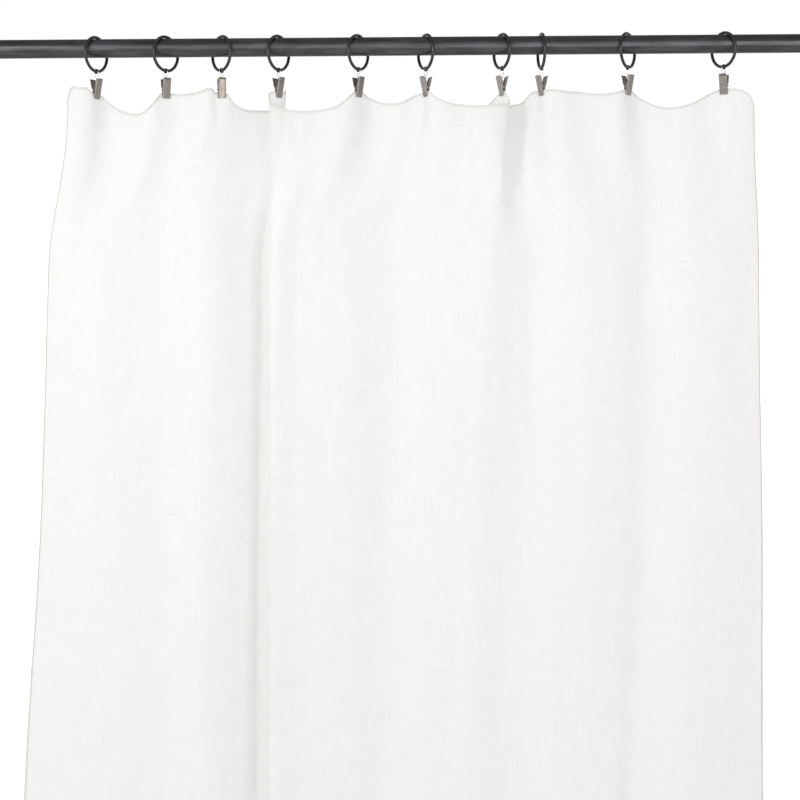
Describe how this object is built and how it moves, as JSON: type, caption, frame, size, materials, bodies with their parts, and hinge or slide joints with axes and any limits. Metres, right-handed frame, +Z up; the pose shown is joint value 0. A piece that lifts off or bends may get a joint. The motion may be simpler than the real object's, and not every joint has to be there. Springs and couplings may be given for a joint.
{
  "type": "window curtain on a rod",
  "caption": "Sheer linen curtain panel hung by spring clips from wire rings on a round steel rod, with a wall bracket at each end; it draws aside, swings and unclips.",
  "frame": {"origin": "on the wall plane, midway between the brackets, at the height of the rod's axis", "axes": "+X along the rod to the right seen from the room, +Y into the wall, +Z up"},
  "size_m": [1.2686, 0.131, 2.2203],
  "materials": {
    "blackened_steel": "dark mill-scale steel, dull sheen with drawn streaks",
    "black_wire": "satin black wire",
    "brushed_nickel": "brushed nickel plate, worn bright at the folds",
    "bright_wire": "bright nickel-plated wire",
    "white_linen": "sheer slubby linen, matt, beige overlocked edges"
  },
  "bodies": {
    "fixed_rod": {"rod": "blackened_steel", "left_end_cap": "blackened_steel", "right_end_cap": "blackened_steel", "left_wall_plate": "blackened_steel", "right_wall_plate": "blackened_steel", "left_bracket_arm": "blackened_steel", "right_bracket_arm": "blackened_steel"},
    "left_lock_screw": {"left_lock_screw": "blackened_steel"},
    "right_lock_screw": {"right_lock_screw": "blackened_steel"},
    "curtain": {"curtain": "white_linen"},
    "ring_01": {"ring_01": "black_wire", "bail_01": "bright_wire", "back_jaw_01": "brushed_nickel", "hinge_pin_01": "brushed_nickel"},
    "front_jaw_01": {"front_jaw_01": "brushed_nickel"},
    "ring_02": {"ring_02": "black_wire", "bail_02": "bright_wire", "back_jaw_02": "brushed_nickel", "hinge_pin_02": "brushed_nickel"},
    "front_jaw_02": {"front_jaw_02": "brushed_nickel"},
    "ring_03": {"ring_03": "black_wire", "bail_03": "bright_wire", "back_jaw_03": "brushed_nickel", "hinge_pin_03": "brushed_nickel"},
    "front_jaw_03": {"front_jaw_03": "brushed_nickel"},
    "ring_04": {"ring_04": "black_wire", "bail_04": "bright_wire", "back_jaw_04": "brushed_nickel", "hinge_pin_04": "brushed_nickel"},
    "front_jaw_04": {"front_jaw_04": "brushed_nickel"},
    "ring_05": {"ring_05": "black_wire", "bail_05": "bright_wire", "back_jaw_05": "brushed_nickel", "hinge_pin_05": "brushed_nickel"},
    "front_jaw_05": {"front_jaw_05": "brushed_nickel"},
    "ring_06": {"ring_06": "black_wire", "bail_06": "bright_wire", "back_jaw_06": "brushed_nickel", "hinge_pin_06": "brushed_nickel"},
    "front_jaw_06": {"front_jaw_06": "brushed_nickel"},
    "ring_07": {"ring_07": "black_wire", "bail_07": "bright_wire", "back_jaw_07": "brushed_nickel", "hinge_pin_07": "brushed_nickel"},
    "front_jaw_07": {"front_jaw_07": "brushed_nickel"},
    "ring_08": {"ring_08": "black_wire", "bail_08": "bright_wire", "back_jaw_08": "brushed_nickel", "hinge_pin_08": "brushed_nickel"},
    "front_jaw_08": {"front_jaw_08": "brushed_nickel"},
    "ring_09": {"ring_09": "black_wire", "bail_09": "bright_wire", "back_jaw_09": "brushed_nickel", "hinge_pin_09": "brushed_nickel"},
    "front_jaw_09": {"front_jaw_09": "brushed_nickel"},
    "ring_10": {"ring_10": "black_wire", "bail_10": "bright_wire", "back_jaw_10": "brushed_nickel", "hinge_pin_10": "brushed_nickel"},
    "front_jaw_10": {"front_jaw_10": "brushed_nickel"}
  },
  "joints": [
    {"name": "left_lock_screw_turn", "type": "hinge", "parent": "fixed_rod", "child": "left_lock_screw", "pos_m": [-0.6, -0.105, 0], "axis": [0, 1, 0], "continuous": true},
    {"name": "right_lock_screw_turn", "type": "hinge", "parent": "fixed_rod", "child": "right_lock_screw", "pos_m": [0.6, -0.105, 0], "axis": [0, 1, 0], "continuous": true},
    {"name": "curtain_swing", "type": "hinge", "parent": "fixed_rod", "child": "curtain", "pos_m": [0, -0.085, 0], "axis": [1, 0, 0], "range_deg": [-12, 0.8]},
    {"name": "draw_01", "type": "slide", "parent": "curtain", "child": "ring_01", "axis": [1, 0, 0], "range_m": [-0.0576, 0]},
    {"name": "jaw_open_01", "type": "hinge", "parent": "ring_01", "child": "front_jaw_01", "pos_m": [-0.415, -0.085, -0.0572], "axis": [-0.5736, -0.8192, 0], "range_deg": [0, 15], "stiffness_Nm_per_rad": 0.002, "springref_deg": -17.19},
    {"name": "draw_02", "type": "slide", "parent": "curtain", "child": "ring_02", "axis": [1, 0, 0], "range_m": [-0.1051, 0]},
    {"name": "jaw_open_02", "type": "hinge", "parent": "ring_02", "child": "front_jaw_02", "pos_m": [-0.32, -0.085, -0.05714], "axis": [-0.9063, -0.4226, 0], "range_deg": [0, 15], "stiffness_Nm_per_rad": 0.002, "springref_deg": -17.19},
    {"name": "draw_03", "type": "slide", "parent": "curtain", "child": "ring_03", "axis": [1, 0, 0], "range_m": [-0.1431, 0]},
    {"name": "jaw_open_03", "type": "hinge", "parent": "ring_03", "child": "front_jaw_03", "pos_m": [-0.244, -0.085, -0.05719], "axis": [-0.9781, -0.2079, 0], "range_deg": [0, 15], "stiffness_Nm_per_rad": 0.002, "springref_deg": -17.19},
    {"name": "draw_04", "type": "slide", "parent": "curtain", "child": "ring_04", "axis": [1, 0, 0], "range_m": [-0.1821, 0]},
    {"name": "jaw_open_04", "type": "hinge", "parent": "ring_04", "child": "front_jaw_04", "pos_m": [-0.166, -0.085, -0.0572], "axis": [-0.6428, -0.766, 0], "range_deg": [0, 15], "stiffness_Nm_per_rad": 0.002, "springref_deg": -17.19},
    {"name": "draw_05", "type": "slide", "parent": "curtain", "child": "ring_05", "axis": [1, 0, 0], "range_m": [-0.2366, 0]},
    {"name": "jaw_open_05", "type": "hinge", "parent": "ring_05", "child": "front_jaw_05", "pos_m": [-0.057, -0.085, -0.0572], "axis": [-0.7071, -0.7071, 0], "range_deg": [0, 15], "stiffness_Nm_per_rad": 0.002, "springref_deg": -17.19},
    {"name": "draw_06", "type": "slide", "parent": "curtain", "child": "ring_06", "axis": [1, 0, 0], "range_m": [-0.2826, 0]},
    {"name": "jaw_open_06", "type": "hinge", "parent": "ring_06", "child": "front_jaw_06", "pos_m": [0.035, -0.085, -0.0572], "axis": [-0.4067, 0.9135, 0], "range_deg": [0, 15], "stiffness_Nm_per_rad": 0.002, "springref_deg": -17.19},
    {"name": "draw_07", "type": "slide", "parent": "curtain", "child": "ring_07", "axis": [1, 0, 0], "range_m": [-0.3346, 0]},
    {"name": "jaw_open_07", "type": "hinge", "parent": "ring_07", "child": "front_jaw_07", "pos_m": [0.139, -0.085, -0.0572], "axis": [-0.342, 0.9397, 0], "range_deg": [0, 15], "stiffness_Nm_per_rad": 0.002, "springref_deg": -17.19},
    {"name": "draw_08", "type": "slide", "parent": "curtain", "child": "ring_08", "axis": [1, 0, 0], "range_m": [-0.3616, 0]},
    {"name": "jaw_open_08", "type": "hinge", "parent": "ring_08", "child": "front_jaw_08", "pos_m": [0.193, -0.085, -0.0572], "axis": [-0.4067, 0.9135, 0], "range_deg": [0, 15], "stiffness_Nm_per_rad": 0.002, "springref_deg": -17.19},
    {"name": "draw_09", "type": "slide", "parent": "curtain", "child": "ring_09", "axis": [1, 0, 0], "range_m": [-0.4206, 0]},
    {"name": "jaw_open_09", "type": "hinge", "parent": "ring_09", "child": "front_jaw_09", "pos_m": [0.311, -0.085, -0.0572], "axis": [-0.7071, -0.7071, 0], "range_deg": [0, 15], "stiffness_Nm_per_rad": 0.002, "springref_deg": -17.19},
    {"name": "draw_10", "type": "slide", "parent": "curtain", "child": "ring_10", "axis": [1, 0, 0], "range_m": [-0.486, 0], "deforming": ["curtain"]},
    {"name": "jaw_open_10", "type": "hinge", "parent": "ring_10", "child": "front_jaw_10", "pos_m": [0.442, -0.085, -0.0572], "axis": [-0.9063, 0.4226, 0], "range_deg": [0, 15], "stiffness_Nm_per_rad": 0.002, "springref_deg": -17.19}
  ],
  "couplings": [
    {"joint": "draw_01", "follows": "draw_10", "ratio": 0.11831},
    {"joint": "draw_02", "follows": "draw_10", "ratio": 0.21605},
    {"joint": "draw_03", "follows": "draw_10", "ratio": 0.29424},
    {"joint": "draw_04", "follows": "draw_10", "ratio": 0.37449},
    {"joint": "draw_05", "follows": "draw_10", "ratio": 0.48663},
    {"joint": "draw_06", "follows": "draw_10", "ratio": 0.58128},
    {"joint": "draw_07", "follows": "draw_10", "ratio": 0.68827},
    {"joint": "draw_08", "follows": "draw_10", "ratio": 0.74383},
    {"joint": "draw_09", "follows": "draw_10", "ratio": 0.86523}
  ]
}
